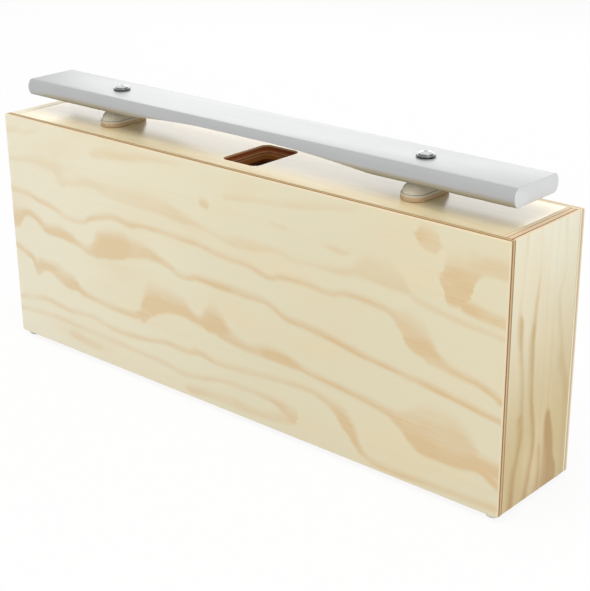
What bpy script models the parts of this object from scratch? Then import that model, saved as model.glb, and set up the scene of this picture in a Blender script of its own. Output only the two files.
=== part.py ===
"""Tone bar on a plywood resonator box.

A tuned aluminium bar floats on two felt supports above the sound hole of a closed plywood box.
Lengths are metres. +X runs along the box, +Y towards its back and +Z up, and the origin lies
under the middle of the box, on the surface that it stands on.
"""

import math

import bmesh
import bpy
from mathutils import Vector

# Plywood box
BOX_LENGTH = 0.450
BOX_DEPTH = 0.080
BOX_HEIGHT = 0.176
FACE_PLY = 0.005            # front and back panels
FRAME_PLY = 0.009           # end and bottom panels
TOP_PLY = 0.012             # top panel, which holds the screws
EDGE_EASE = 0.0004          # sanded edges on the outside of the box

# Sound hole in the top panel
HOLE_LENGTH = 0.032         # along the box
HOLE_WIDTH = 0.046          # across the box
HOLE_CORNER = 0.0055

# Tone bar
BAR_LENGTH = 0.431
BAR_WIDTH = 0.0465          # over the rounded sides
BAR_THICKNESS = 0.012
BAR_NOSE = 0.0030           # how far the rounded sides stand past the flat top
BAR_END_EASE = 0.0006
BAR_LIFT = 0.0004           # free travel between the pads and the washers
ARCH_SPAN = 0.226           # length of the tuning cut under the bar
ARCH_FLAT = 0.050           # level stretch in the middle of the cut
ARCH_DEPTH = 0.006

# Supports and fasteners at the two points where the bar is still when it sounds
SUPPORT_SPACING = 0.273
PAD_WIDTH = 0.0170          # along the bar
PAD_LENGTH = 0.0370         # across the bar
PAD_THICKNESS = 0.0077
PAD_CROWN = 0.0030          # width of the flat crest that the bar rests on
PAD_BULGE = 0.0013          # how far the side stands past a straight slope
PAD_BASE_ROUND = 0.0008
PLATE_WIDTH = 0.0180        # along the bar
PLATE_LENGTH = 0.0380       # across the bar
PLATE_THICKNESS = 0.0039
PLATE_ROUND = 0.0004
SLEEVE_WALL = 0.0012
WASHER_DIAMETER = 0.0125
WASHER_THICKNESS = 0.0010
WASHER_ROUND = 0.0002
SCREW_DIAMETER = 0.005
SCREW_LENGTH = 0.040        # from under the head to the tip
SCREW_POINT = 0.006
HEAD_DIAMETER = 0.0095
HEAD_RIM = 0.0007           # straight rim below the dome
HEAD_DOME = 0.0012
RECESS_SPAN = 0.0052
RECESS_SLOT = 0.0012
RECESS_DEPTH = 0.0011
RECESS_TAPER = 0.55         # floor of the recess as a share of its mouth

# Feet
FOOT_DIAMETER = 0.0095
FOOT_HEIGHT = 0.0035        # the box stands this far above the table
FOOT_ROUND = 0.0018
FOOT_INSET = 0.007          # centre of a foot from the two faces at its corner

# Clearances
GLUE_LINE = 0.0003          # between glued panels
SEAT_GAP = 0.0003           # between a piece and what it rests on
CLAMP_GAP = 0.0001          # between the clamped faces of sleeve, washer and screw head
LIFT_STOP = 0.0001          # left above the bar when it is lifted
SLIP = 0.0003               # round a pin in its hole
BAR_SLIP = 0.0006           # round a sleeve in the bar

# Smoothness
TURN_STEPS = 32
ROUND_STEPS = 5
EASE_STEPS = 2
NOSE_STEPS = 10
ARCH_STEPS = 12
SMOOTH_ANGLE = math.radians(35)

# Levels, from the table up
BOX_BASE = FOOT_HEIGHT
BOX_TOP = BOX_BASE + BOX_HEIGHT
PLATE_BASE = BOX_TOP + SEAT_GAP
PAD_BASE = PLATE_BASE + PLATE_THICKNESS + SEAT_GAP
BAR_BASE = PAD_BASE + PAD_THICKNESS + SEAT_GAP
BAR_TOP = BAR_BASE + BAR_THICKNESS
WASHER_BASE = BAR_TOP + BAR_LIFT + LIFT_STOP
HEAD_BASE = WASHER_BASE + WASHER_THICKNESS + CLAMP_GAP

# Radii that follow from the screw outwards
SCREW_HOLE = SCREW_DIAMETER / 2 + SLIP
SLEEVE_RADIUS = SCREW_HOLE + SLEEVE_WALL
SUPPORT_HOLE = SLEEVE_RADIUS + SLIP
BAR_HOLE = SLEEVE_RADIUS + BAR_SLIP

SIDES = {"left": -1, "right": 1}
CORNERS = {
    "front_left": (-1, -1),
    "front_right": (1, -1),
    "back_left": (-1, 1),
    "back_right": (1, 1),
}


def clear_scene():
    """Remove every object that the scene starts with."""
    for old in list(bpy.data.objects):
        bpy.data.objects.remove(old, do_unlink=True)


def finish(name, colour, roughness, metallic=0.0):
    """Return a material of one colour."""
    material = bpy.data.materials.new(name)
    material.use_nodes = True
    shader = material.node_tree.nodes["Principled BSDF"]
    shader.inputs["Base Color"].default_value = (*colour, 1.0)
    shader.inputs["Roughness"].default_value = roughness
    shader.inputs["Metallic"].default_value = metallic
    return material


def place_empty(name, location):
    """Return an empty that pieces are parented to."""
    empty = bpy.data.objects.new(name, None)
    empty.location = location
    bpy.context.collection.objects.link(empty)
    return empty


def to_object(bm, name, material=None, parent=None, location=(0, 0, 0)):
    """Turn a bmesh into a named object at a place measured from its parent."""
    mesh = bpy.data.meshes.new(name)
    bm.to_mesh(mesh)
    bm.free()
    mesh.shade_smooth()
    mesh.set_sharp_from_angle(angle=SMOOTH_ANGLE)
    piece = bpy.data.objects.new(name, mesh)
    if material is not None:
        mesh.materials.append(material)
    piece.parent = parent
    piece.location = location
    bpy.context.collection.objects.link(piece)
    return piece


def cut(piece, cutter):
    """Subtract a cutter, which stays in the scene as a wire guide."""
    cutter.hide_render = True
    cutter.display_type = "WIRE"
    boolean = piece.modifiers.new(cutter.name, "BOOLEAN")
    boolean.operation = "DIFFERENCE"
    boolean.solver = "EXACT"
    boolean.object = cutter


def arc(centre, radius, start, end, steps):
    """Return points along an arc in a plane, with angles in radians."""
    points = []
    for step in range(steps + 1):
        angle = start + (end - start) * step / steps
        points.append((centre[0] + radius * math.cos(angle), centre[1] + radius * math.sin(angle)))
    return points


def block(low, high):
    """Return a bmesh box between two corners."""
    low = Vector(low)
    high = Vector(high)
    bm = bmesh.new()
    bmesh.ops.create_cube(bm, size=1.0)
    bmesh.ops.scale(bm, vec=high - low, verts=bm.verts)
    bmesh.ops.translate(bm, vec=(low + high) / 2, verts=bm.verts)
    return bm


def prism(outline, plane, length):
    """Return a bmesh prism on a flat outline, centred on the plane of the outline.

    plane turns a point of the outline into a place, and length is the vector to extrude along.
    """
    bm = bmesh.new()
    half = Vector(length) / 2
    face = bm.faces.new([bm.verts.new(Vector(plane(*point)) - half) for point in outline])
    side = bmesh.ops.extrude_face_region(bm, geom=[face])
    moved = [item for item in side["geom"] if isinstance(item, bmesh.types.BMVert)]
    bmesh.ops.translate(bm, vec=length, verts=moved)
    bmesh.ops.recalc_face_normals(bm, faces=bm.faces)
    return bm


def turned(profile, closed):
    """Return a bmesh turned about Z from (radius, height) points.

    A closed profile makes a ring. An open one starts and ends on the axis.
    """
    bm = bmesh.new()
    verts = [bm.verts.new((radius, 0, height)) for radius, height in profile]
    pairs = list(zip(verts, verts[1:]))
    if closed:
        pairs.append((verts[-1], verts[0]))
    edges = [bm.edges.new(pair) for pair in pairs]
    bmesh.ops.spin(
        bm, geom=verts + edges, cent=(0, 0, 0), axis=(0, 0, 1),
        angle=2 * math.pi, steps=TURN_STEPS, use_merge=True,
    )
    bmesh.ops.remove_doubles(bm, verts=bm.verts, dist=1e-6)
    bmesh.ops.recalc_face_normals(bm, faces=bm.faces)
    return bm


def oblong(profile, run):
    """Return a bmesh strip along Y with round ends, from (reach, height) points of half its section.

    The points start and end on the middle line. They are turned half round at each end of the run
    and drawn straight from one end to the other.
    """
    bm = bmesh.new()
    verts = [bm.verts.new((reach, run / 2, height)) for reach, height in profile]
    section = verts + [bm.edges.new(pair) for pair in zip(verts, verts[1:])]
    for end in (1, -1):
        centre = (0, end * run / 2, 0)
        turn = bmesh.ops.spin(bm, geom=section, cent=centre, axis=(0, 0, 1), angle=math.pi,
                              steps=TURN_STEPS // 2)
        draw = bmesh.ops.spin(bm, geom=turn["geom_last"], cent=centre, axis=(0, 0, 1), angle=0,
                              dvec=(0, -end * run, 0), steps=1)
        section = draw["geom_last"]
    bmesh.ops.remove_doubles(bm, verts=bm.verts, dist=1e-6)
    bmesh.ops.recalc_face_normals(bm, faces=bm.faces)
    return bm


def rim_profile(inner, outer, height, rim):
    """Return a section from inner to outer with a rounded outer edge above and below."""
    points = [(inner, 0)]
    points += arc((outer - rim, rim), rim, -math.pi / 2, 0, EASE_STEPS)
    points += arc((outer - rim, height - rim), rim, 0, math.pi / 2, EASE_STEPS)
    points.append((inner, height))
    return points


def pad_profile():
    """Return half the section of a pad: a flat crest and a bulged side that narrows towards it."""
    foot = (PAD_WIDTH / 2, PAD_BASE_ROUND)
    crown = (PAD_CROWN / 2, PAD_THICKNESS)
    chord = math.hypot(foot[0] - crown[0], crown[1] - foot[1])
    radius = chord * chord / (8 * PAD_BULGE) + PAD_BULGE / 2
    slope = math.atan2(foot[0] - crown[0], crown[1] - foot[1])
    sweep = math.asin(chord / (2 * radius))
    reach = radius - PAD_BULGE
    middle = ((foot[0] + crown[0]) / 2, (foot[1] + crown[1]) / 2)
    centre = (middle[0] - reach * math.cos(slope), middle[1] - reach * math.sin(slope))
    rim = arc((foot[0] - PAD_BASE_ROUND, PAD_BASE_ROUND), PAD_BASE_ROUND, -math.pi / 2, 0, EASE_STEPS)
    side = arc(centre, radius, slope - sweep, slope + sweep, 2 * ROUND_STEPS)
    return [(0, 0)] + rim + side[1:] + [(0, PAD_THICKNESS)]


def panel(name, low, high, material, parent):
    """Add a plywood panel, eased where two outer faces of the box meet on it."""
    bm = block(low, high)
    outer = (BOX_LENGTH / 2, BOX_DEPTH / 2, BOX_HEIGHT / 2)
    middle = Vector((0, 0, BOX_HEIGHT / 2))

    def outer_faces(edge):
        """Count the outer faces of the box that an edge lies on."""
        ends = [vert.co - middle for vert in edge.verts]
        count = 0
        for axis in range(3):
            for side in SIDES.values():
                if all(abs(end[axis] - side * outer[axis]) < EDGE_EASE / 2 for end in ends):
                    count += 1
        return count

    edges = [edge for edge in bm.edges if outer_faces(edge) > 1]
    if edges:
        bmesh.ops.bevel(
            bm, geom=edges, offset=EDGE_EASE, affect="EDGES", segments=EASE_STEPS, profile=0.5,
            material=-1,
        )
    return to_object(bm, name, material, parent)


def build_box(parent, material):
    """Add the six panels of the box. Heights are measured from the underside of the box."""
    half_length = BOX_LENGTH / 2
    half_depth = BOX_DEPTH / 2
    inner_depth = half_depth - FACE_PLY - GLUE_LINE
    inner_length = half_length - FRAME_PLY - GLUE_LINE
    for name, side in (("front_panel", -1), ("back_panel", 1)):
        depths = sorted((side * half_depth, side * (half_depth - FACE_PLY)))
        low = (-half_length, depths[0], 0)
        high = (half_length, depths[1], BOX_HEIGHT)
        panel(name, low, high, material, parent)
    for word, side in SIDES.items():
        lengths = sorted((side * half_length, side * (half_length - FRAME_PLY)))
        low = (lengths[0], -inner_depth, 0)
        high = (lengths[1], inner_depth, BOX_HEIGHT)
        panel(word + "_end_panel", low, high, material, parent)
    low = (-inner_length, -inner_depth, 0)
    high = (inner_length, inner_depth, FRAME_PLY)
    panel("bottom_panel", low, high, material, parent)
    low = (-inner_length, -inner_depth, BOX_HEIGHT - TOP_PLY)
    high = (inner_length, inner_depth, BOX_HEIGHT)
    top = panel("top_panel", low, high, material, parent)
    cut(top, sound_hole_cutter(parent))
    for word, side in SIDES.items():
        cut(top, hole_cutter(word + "_pilot_hole", SCREW_HOLE, TOP_PLY, parent,
                             (side * SUPPORT_SPACING / 2, 0, BOX_HEIGHT - TOP_PLY / 2)))


def sound_hole_cutter(parent):
    """Return the rounded block that cuts the sound hole."""
    reach = Vector((HOLE_LENGTH, HOLE_WIDTH, 2 * TOP_PLY)) / 2
    bm = block(-reach, reach)
    upright = [edge for edge in bm.edges if abs(edge.verts[0].co.z - edge.verts[1].co.z) > TOP_PLY]
    bmesh.ops.bevel(
        bm, geom=upright, offset=HOLE_CORNER, affect="EDGES", segments=ROUND_STEPS, profile=0.5,
        material=-1,
    )
    return to_object(bm, "sound_hole", None, parent, (0, 0, BOX_HEIGHT - TOP_PLY / 2))


def hole_cutter(name, radius, depth, parent, location):
    """Return a round cutter, twice as long as the thickness that it goes through."""
    profile = [(0, depth), (radius, depth), (radius, -depth), (0, -depth)]
    return to_object(turned(profile, closed=False), name, None, parent, location)


def bar_section():
    """Return the outline across the bar: flat faces and arcs along both sides."""
    half = BAR_THICKNESS / 2
    radius = (half * half + BAR_NOSE * BAR_NOSE) / (2 * BAR_NOSE)
    sweep = math.asin(half / radius)
    centre = BAR_WIDTH / 2 - radius
    right = arc((centre, half), radius, -sweep, sweep, NOSE_STEPS)
    left = arc((-centre, half), radius, math.pi - sweep, math.pi + sweep, NOSE_STEPS)
    return right + left


def arch_outline():
    """Return the outline of the tuning cut: a level middle and an arc down to each side."""
    run = (ARCH_SPAN - ARCH_FLAT) / 2
    radius = (run * run + ARCH_DEPTH * ARCH_DEPTH) / (2 * ARCH_DEPTH)
    sweep = math.asin(run / radius)
    up = math.pi / 2
    right = arc((ARCH_FLAT / 2, ARCH_DEPTH - radius), radius, up - sweep, up, ARCH_STEPS)
    left = [(-along, height) for along, height in reversed(right)]
    below = -BAR_THICKNESS
    return [(-ARCH_SPAN / 2, below), (ARCH_SPAN / 2, below)] + right + left


def build_bar(parent, material):
    """Add the tone bar, with its underside at the parent's height."""
    bm = prism(bar_section(), lambda across, up: (0, across, up), (BAR_LENGTH, 0, 0))
    reach = BAR_LENGTH / 2 - BAR_END_EASE
    rims = [edge for edge in bm.edges if all(abs(vert.co.x) > reach for vert in edge.verts)
            and edge.verts[0].co.x * edge.verts[1].co.x > 0]
    bmesh.ops.bevel(
        bm, geom=rims, offset=BAR_END_EASE, affect="EDGES", segments=EASE_STEPS, profile=0.5,
        material=-1,
    )
    bar = to_object(bm, "tone_bar", material, parent)
    arch = prism(arch_outline(), lambda along, up: (along, 0, up), (0, 2 * BAR_WIDTH, 0))
    cut(bar, to_object(arch, "tuning_arch", None, parent))
    for word, side in SIDES.items():
        cut(bar, hole_cutter(word + "_bar_hole", BAR_HOLE, BAR_THICKNESS, parent,
                             (side * SUPPORT_SPACING / 2, 0, BAR_THICKNESS / 2)))


def screw_profile():
    """Return half the section of a pan-head screw, from the top of its head to its point."""
    rim = HEAD_DIAMETER / 2
    shank = SCREW_DIAMETER / 2
    radius = (rim * rim + HEAD_DOME * HEAD_DOME) / (2 * HEAD_DOME)
    sweep = math.asin(rim / radius)
    up = math.pi / 2
    dome = arc((0, HEAD_RIM + HEAD_DOME - radius), radius, up, up - sweep, ROUND_STEPS)
    dome[0] = (0, HEAD_RIM + HEAD_DOME)
    neck = [(rim, 0), (shank, 0), (shank, SCREW_POINT - SCREW_LENGTH), (0, -SCREW_LENGTH)]
    return dome + neck


def recess_cutter(name, parent, location):
    """Return the tapered cross that cuts the drive recess of a screw."""
    span = RECESS_SPAN / 2
    slot = RECESS_SLOT / 2
    quarter = [(span, -slot), (span, slot), (slot, slot)]
    outline = []
    for turn in range(4):
        cos, sin = round(math.cos(turn * math.pi / 2)), round(math.sin(turn * math.pi / 2))
        outline += [(cos * x - sin * y, sin * x + cos * y) for x, y in quarter]
    height = 2 * RECESS_DEPTH
    bm = prism(outline, lambda x, y: (x, y, 0), (0, 0, height))
    floor = [vert for vert in bm.verts if vert.co.z < 0]
    bmesh.ops.scale(bm, vec=(RECESS_TAPER, RECESS_TAPER, 1), verts=floor)
    return to_object(bm, name, None, parent, location)


def build_support(word, side, parent, materials):
    """Add one support and its fastener: base plate, pad, sleeve, washer and screw."""
    along = side * SUPPORT_SPACING / 2
    plate = rim_profile(0, PLATE_WIDTH / 2, PLATE_THICKNESS, PLATE_ROUND)
    strips = (
        ("base_plate", plate, PLATE_LENGTH - PLATE_WIDTH, PLATE_BASE, PLATE_THICKNESS, "cork"),
        ("pad", pad_profile(), PAD_LENGTH - PAD_WIDTH, PAD_BASE, PAD_THICKNESS, "felt"),
    )
    for kind, profile, run, height, thickness, material in strips:
        strip = to_object(oblong(profile, run), word + "_" + kind, materials[material], parent,
                          (along, 0, height))
        cut(strip, hole_cutter(word + "_" + kind + "_hole", SUPPORT_HOLE, thickness, parent,
                               (along, 0, height + thickness / 2)))
    washer = rim_profile(SCREW_HOLE, WASHER_DIAMETER / 2, WASHER_THICKNESS, WASHER_ROUND)
    sleeve_base = BOX_TOP + SEAT_GAP
    sleeve_top = WASHER_BASE - CLAMP_GAP - sleeve_base
    sleeve = [(SCREW_HOLE, 0), (SLEEVE_RADIUS, 0), (SLEEVE_RADIUS, sleeve_top), (SCREW_HOLE, sleeve_top)]
    stack = (
        ("sleeve", sleeve, sleeve_base, "plastic"),
        ("washer", washer, WASHER_BASE, "zinc"),
    )
    for kind, profile, height, material in stack:
        to_object(turned(profile, closed=True), word + "_" + kind, materials[material], parent,
                  (along, 0, height))
    screw = to_object(turned(screw_profile(), closed=False), word + "_screw", materials["zinc"], parent,
                      (along, 0, HEAD_BASE))
    crown = HEAD_BASE + HEAD_RIM + HEAD_DOME
    cut(screw, recess_cutter(word + "_recess", parent, (along, 0, crown)))


def build_feet(parent, material):
    """Add a rubber bumper under each corner of the box."""
    radius = FOOT_DIAMETER / 2
    top = FOOT_HEIGHT - SEAT_GAP
    rounded = arc((radius - FOOT_ROUND, FOOT_ROUND), FOOT_ROUND, 0, -math.pi / 2, ROUND_STEPS)
    profile = [(0, top), (radius, top)] + rounded + [(0, 0)]
    reach_x = BOX_LENGTH / 2 - FOOT_INSET
    reach_y = BOX_DEPTH / 2 - FOOT_INSET
    for word, (along, across) in CORNERS.items():
        to_object(turned(profile, closed=False), word + "_foot", material, parent,
                  (along * reach_x, across * reach_y, 0))


def main():
    """Build every piece of the instrument."""
    clear_scene()
    materials = {
        "plywood": finish("plywood", (0.75, 0.62, 0.42), 0.6),
        "aluminium": finish("aluminium", (0.80, 0.80, 0.80), 0.4, 1.0),
        "felt": finish("felt", (0.78, 0.75, 0.68), 0.95),
        "cork": finish("cork", (0.55, 0.36, 0.20), 0.9),
        "plastic": finish("plastic", (0.70, 0.70, 0.68), 0.5),
        "zinc": finish("zinc", (0.72, 0.72, 0.72), 0.25, 1.0),
        "rubber": finish("rubber", (0.80, 0.80, 0.76), 0.5),
    }
    stand = place_empty("stand", (0, 0, 0))
    box = place_empty("box", (0, 0, BOX_BASE))
    box.parent = stand
    lift = place_empty("bar_lift", (0, 0, BAR_BASE))
    build_box(box, materials["plywood"])
    build_bar(lift, materials["aluminium"])
    for word, side in SIDES.items():
        build_support(word, side, stand, materials)
    build_feet(stand, materials["rubber"])


main()
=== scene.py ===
"""Looks of a tuned tone bar on a plywood resonator box.

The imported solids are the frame. Each class of sub-assembly below builds finished meshes over them,
dresses those in procedural finishes and ties them to the bodies that move. Lengths are metres unless
a name says mm. +X runs along the box, +Y towards its back and +Z up.
"""

from __future__ import annotations

import logging
import math
from abc import ABC, abstractmethod
from dataclasses import dataclass, field
from enum import Enum
from functools import cached_property
from typing import Any, Callable, Optional, Sequence, Union

import bmesh
import bpy
from mathutils import Matrix, Vector, noise

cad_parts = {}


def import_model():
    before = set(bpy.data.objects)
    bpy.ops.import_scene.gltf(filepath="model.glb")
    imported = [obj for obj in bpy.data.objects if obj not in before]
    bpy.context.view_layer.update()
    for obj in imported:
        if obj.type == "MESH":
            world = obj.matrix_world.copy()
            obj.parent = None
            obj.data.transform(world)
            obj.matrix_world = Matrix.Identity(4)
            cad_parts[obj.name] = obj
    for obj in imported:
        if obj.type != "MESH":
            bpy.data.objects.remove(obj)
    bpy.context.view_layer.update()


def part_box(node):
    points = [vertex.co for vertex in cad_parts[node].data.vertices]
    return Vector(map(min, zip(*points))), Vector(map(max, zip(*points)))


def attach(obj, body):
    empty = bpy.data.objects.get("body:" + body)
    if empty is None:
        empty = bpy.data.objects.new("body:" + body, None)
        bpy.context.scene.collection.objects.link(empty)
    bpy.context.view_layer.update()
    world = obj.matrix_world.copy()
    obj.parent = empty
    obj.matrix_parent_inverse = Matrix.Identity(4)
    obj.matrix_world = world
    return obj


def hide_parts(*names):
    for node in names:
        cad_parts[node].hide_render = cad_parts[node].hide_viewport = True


LOG = logging.getLogger("tone_bar")
MM = 0.001
QUARTER = math.pi / 2
COINCIDENT = 1e-6
WHITE = (1.0, 1.0, 1.0, 1.0)
SIDES = ("left", "right")

Colour = tuple[float, float, float]
Point = tuple[float, float]
Mesh = bmesh.types.BMesh
Edge = bmesh.types.BMEdge
Face = bmesh.types.BMFace
Value = Union["Wire", float]
Sockets = dict[Union[str, int], Any]


class Body(Enum):
    """The bodies of the frame."""

    BOX = "resonator_box"
    BAR = "tone_bar"


class Slot(Enum):
    """The material slots of the record."""

    PLYWOOD = "plywood"
    ALUMINIUM = "bar_aluminium"
    FELT = "felt"
    CORK = "cork"
    NYLON = "sleeve_plastic"
    ZINC = "zinc"
    RUBBER = "foot_rubber"


class Axis(Enum):
    """The axes of the part, as indices."""

    X = 0
    Y = 1
    Z = 2


def shade(red: int, green: int, blue: int) -> Colour:
    """Return the linear colour of three display values from 0 to 255."""
    def linear(level: float) -> float:
        """Undo the display curve for one channel."""
        return level / 12.92 if level <= 0.04045 else ((level + 0.055) / 1.055) ** 2.4

    return linear(red / 255), linear(green / 255), linear(blue / 255)


def dimmed(colour: Colour, factor: float) -> Colour:
    """Return a colour made darker by a factor."""
    return tuple(factor * level for level in colour)


def _operator(operation: str, swapped: bool = False) -> Callable[[Wire, Value], Wire]:
    """Return a method that adds a Math node on a wire and another value, or on the two swapped."""
    def method(wire: Wire, other: Value) -> Wire:
        """Return the node's result."""
        return wire.graph.math(operation, *((other, wire) if swapped else (wire, other)))

    return method


class Wire:
    """An output socket of a shader node that takes part in Python arithmetic."""

    def __init__(self, graph: Graph, socket: bpy.types.NodeSocket) -> None:
        """Hold a socket and the graph that it belongs to."""
        self.graph = graph
        self.socket = socket

    __add__ = _operator("ADD")
    __radd__ = _operator("ADD", swapped=True)
    __sub__ = _operator("SUBTRACT")
    __rsub__ = _operator("SUBTRACT", swapped=True)
    __mul__ = _operator("MULTIPLY")
    __truediv__ = _operator("DIVIDE")


Place = tuple[Wire, Wire, Wire]


class Graph:
    """The nodes of one material or world, built from expressions."""

    MIXED_COLOURS = (6, 7)
    MIX_RESULT = 2

    def __init__(self, tree: bpy.types.NodeTree) -> None:
        """Start on an empty node tree."""
        self.tree = tree
        self.tree.nodes.clear()

    def node(self, kind: str, sockets: Optional[Sockets] = None, **settings: Any) -> bpy.types.Node:
        """Add a node.

        Args:
            kind: The node's type, without the prefix that all shader nodes share.
            sockets: Values or wires for the inputs, by name or index.
            settings: Properties that are set first. "stops" are a ramp's and "points" a curve's.

        Returns:
            The node.
        """
        made = self.tree.nodes.new("ShaderNode" + kind)
        for name, value in settings.items():
            if name == "stops":
                self._set_stops(made.color_ramp, value)
            elif name == "points":
                self._set_points(made.mapping, value)
            else:
                setattr(made, name, value)
        for name, value in (sockets or {}).items():
            if isinstance(value, Wire):
                self.tree.links.new(value.socket, made.inputs[name])
            else:
                made.inputs[name].default_value = value
        return made

    def wire(
        self, kind: str, sockets: Optional[Sockets] = None, output: Union[str, int] = 0, **settings: Any
    ) -> Wire:
        """Add a node in the same way, and return one of its outputs by name or index."""
        return Wire(self, self.node(kind, sockets, **settings).outputs[output])

    @staticmethod
    def _set_stops(ramp: bpy.types.ColorRamp, stops: Sequence[tuple[float, Colour]]) -> None:
        """Give a colour ramp its stops, in rising order."""
        while len(ramp.elements) < len(stops):
            ramp.elements.new(1.0)
        for element, (position, colour) in zip(ramp.elements, stops):
            element.position = position
            element.color = (*colour, 1.0)

    @staticmethod
    def _set_points(mapping: bpy.types.CurveMapping, points: Sequence[Point]) -> None:
        """Lead a value curve smoothly through its points, in rising order."""
        curve = mapping.curves[0]
        while len(curve.points) < len(points):
            curve.points.new(1.0, 0.0)
        for knot, place in zip(curve.points, points):
            knot.location = place
            knot.handle_type = "AUTO_CLAMPED"
        mapping.update()

    def math(self, operation: str, *values: Value) -> Wire:
        """Return the result of a Math node on wires and numbers."""
        return self.wire("Math", dict(enumerate(values)), operation=operation)

    @cached_property
    def place(self) -> Place:
        """The three Object coordinates of the shaded point."""
        split = self.node("SeparateXYZ", {0: self.wire("TexCoord", output="Object")})
        return tuple(Wire(self, socket) for socket in split.outputs)

    def vector(self, x: Value, y: Value, z: Value) -> Wire:
        """Return a vector made of three values."""
        return self.wire("CombineXYZ", {0: x, 1: y, 2: z})

    def noise(self, x: Value, y: Value, z: Value, detail: float = 2.0, roughness: float = 0.5) -> Wire:
        """Return smooth noise from 0 to 1 at a place that is given in the noise's own units."""
        sockets = {"Vector": self.vector(x, y, z), "Scale": 1.0, "Detail": detail, "Roughness": roughness}
        return self.wire("TexNoise", sockets)

    def speckle(self, scale: float, detail: float = 2.0, roughness: float = 0.5) -> Wire:
        """Return smooth noise that is alike along all axes, with its scale in units per metre."""
        return self.noise(*(axis * scale for axis in self.place), detail=detail, roughness=roughness)

    def cells(self, scale: float) -> Wire:
        """Return the distance to the nearest of scattered points, with its scale in points per metre."""
        sockets = {"Vector": self.vector(*(axis * scale for axis in self.place)), "Scale": 1.0}
        return self.wire("TexVoronoi", sockets, "Distance")

    def curve(self, position: Wire, points: Sequence[Point]) -> Wire:
        """Return the height of a smooth curve through points in a unit square."""
        return self.wire("FloatCurve", {"Value": position}, points=points)

    def ramp(self, position: Wire, stops: Sequence[tuple[float, Colour]]) -> Wire:
        """Return the colour of a ramp at a position from 0 to 1."""
        return self.wire("ValToRGB", {0: position}, "Color", stops=stops)

    def smooth(self, value: Wire, low: float, high: float) -> Wire:
        """Return a value's rise from 0 at low to 1 at high, eased at both ends."""
        sockets = {"Value": value, "From Min": low, "From Max": high}
        return self.wire("MapRange", sockets, interpolation_type="SMOOTHSTEP")

    def mix(self, low: Union[Wire, Colour], high: Union[Wire, Colour], share: Value) -> Wire:
        """Return a colour between two others."""
        sockets = {0: share}
        for index, colour in zip(self.MIXED_COLOURS, (low, high)):
            sockets[index] = colour if isinstance(colour, Wire) else (*colour, 1.0)
        return self.wire("Mix", sockets, self.MIX_RESULT, data_type="RGBA")

    def scale(self, colour: Wire, factor: Value) -> Wire:
        """Return a colour made lighter or darker by a factor."""
        return self.wire("VectorMath", {0: colour, "Scale": factor}, operation="SCALE")

    def bump(self, height: Wire, depth_mm: float, strength: float = 1.0) -> Wire:
        """Return a normal that is tilted by a height from 0 to 1, which is depth_mm deep."""
        return self.wire("Bump", {"Height": height, "Distance": depth_mm * MM, "Strength": strength})

    def seen(self) -> Wire:
        """Return 1 for what the camera sees directly, in a shiny surface or through a clear one, else 0."""
        path = self.node("LightPath")
        kinds = ("Is Camera Ray", "Is Glossy Ray", "Is Transmission Ray")
        camera, glossy, clear = (Wire(self, path.outputs[kind]) for kind in kinds)
        return self.math("MAXIMUM", camera, self.math("MAXIMUM", glossy, clear))

    def blend(self, share: Wire, first: Wire, second: Wire) -> Wire:
        """Return a shader between two others."""
        return self.wire("MixShader", {0: share, 1: first, 2: second})

    def surface(self, sockets: dict[str, Any]) -> None:
        """Close a material with one principled shader."""
        self.node("OutputMaterial", {"Surface": self.wire("BsdfPrincipled", sockets)})


@dataclass(frozen=True)
class Ruler:
    """Reads a distance in millimetres along one axis of the part.

    Attributes:
        axis: The axis that it lies along.
        zero: The coordinate where it starts, in metres.
        sign: 1 if it counts along the axis, and -1 if against it.
    """

    axis: Axis
    zero: float
    sign: int = 1

    def read(self, graph: Graph) -> Wire:
        """Return the distance at the shaded point."""
        return (graph.place[self.axis.value] - self.zero) * (self.sign / MM)


@dataclass(frozen=True)
class Finish(ABC):
    """How one surface looks.

    Attributes:
        name: The material's name.
        seed: Moves the random detail, so that two sheets of one finish differ.
    """

    name: str
    seed: float = 0.0

    def material(self) -> bpy.types.Material:
        """Return a new material with this finish."""
        made = bpy.data.materials.new(self.name)
        made.use_nodes = True
        self.paint(Graph(made.node_tree))
        return made

    @abstractmethod
    def paint(self, graph: Graph) -> None:
        """Add the finish's nodes to an empty graph."""


@dataclass(frozen=True)
class GrainLine:
    """One band of late wood that wanders along a veneer.

    One side of it fades over SOFT_SIDE and the other over CRISP_SIDE, in millimetres from the rim. The soft
    side fades slower by SPREAD for each millimetre that the half width is past BROAD.

    Attributes:
        points: Distance along the sheet, distance across it and half the band's width, in millimetres.
            The band is absent where its width is 0.
        strength: How dark it is. 1 gives late wood its full colour.
    """

    points: tuple[tuple[float, float, float], ...]
    strength: float = 1.0

    WIDEST = 20.0
    BROAD = 4.0
    SPREAD = 0.16
    SOFT_SIDE = (-2.6, 5.0)
    CRISP_SIDE = (-1.5, 2.8)

    def band(self, graph: Graph, along: Wire, across: Wire, sheet: Point) -> Wire:
        """Return how much of the band covers a place.

        Args:
            graph: The material's graph.
            along: Distance along the sheet in millimetres.
            across: Distance across the sheet in millimetres.
            sheet: Length and width of the sheet in millimetres.

        Returns:
            A value from 0, outside the band, to the band's strength.
        """
        length, width = sheet
        share = along / length
        centre = graph.curve(share, [(a / length, c / width) for a, c, _ in self.points]) * width
        half = graph.curve(share, [(a / length, h / self.WIDEST) for a, _, h in self.points]) * self.WIDEST
        offset = across - centre
        spread = 1 + graph.math("MAXIMUM", half - self.BROAD, 0.0) * self.SPREAD
        soft = graph.smooth((half + offset) / spread, *self.SOFT_SIDE)
        crisp = graph.smooth(half - offset, *self.CRISP_SIDE)
        return soft * crisp * self.strength


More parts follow.
